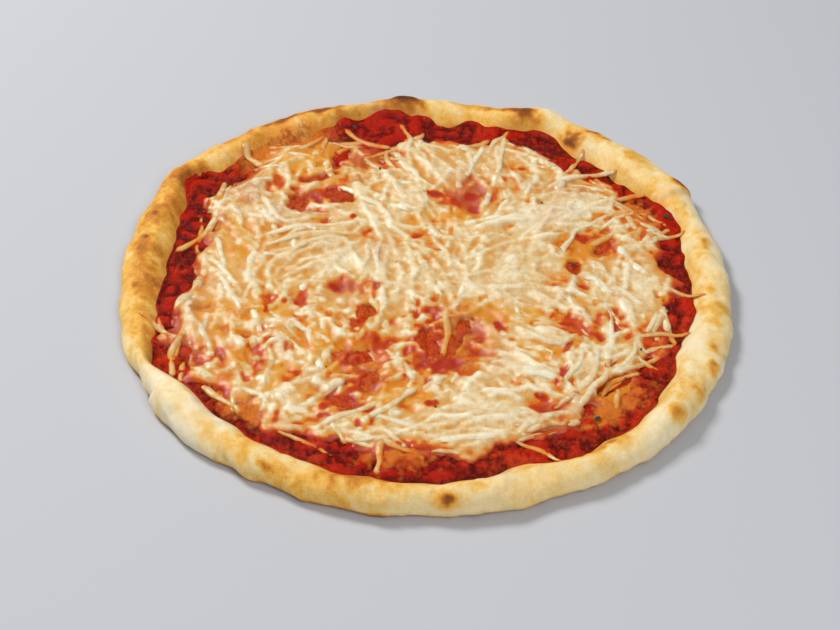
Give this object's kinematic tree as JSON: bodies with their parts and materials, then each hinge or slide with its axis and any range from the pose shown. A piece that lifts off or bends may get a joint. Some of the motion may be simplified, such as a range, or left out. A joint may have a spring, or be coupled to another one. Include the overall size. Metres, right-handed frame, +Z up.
{
  "type": "margherita pizza",
  "caption": "Round uncut margherita pizza: thin hand-stretched base with a puffed, folded rim, a spread of tomato sauce and a melted layer of shredded cheese with loose strands.",
  "frame": {"origin": "middle of the outline, on the flat underside", "axes": "+Z up out of the cheese, +X to the viewer's right and -Y towards the viewer in the picture"},
  "size_m": [0.2945, 0.2938, 0.0147],
  "materials": {
    "dough": "baked wheat dough, pale and floury, browned in spots",
    "sauce": "cooked tomato sauce, wet and grainy, with flecks of dried herb",
    "cheese": "melted shredded cheese, cream coloured, oily and a little see-through"
  },
  "bodies": {
    "root": {"crust": "dough", "tomato_sauce": "sauce", "melted_cheese": "cheese"}
  },
  "joints": []
}
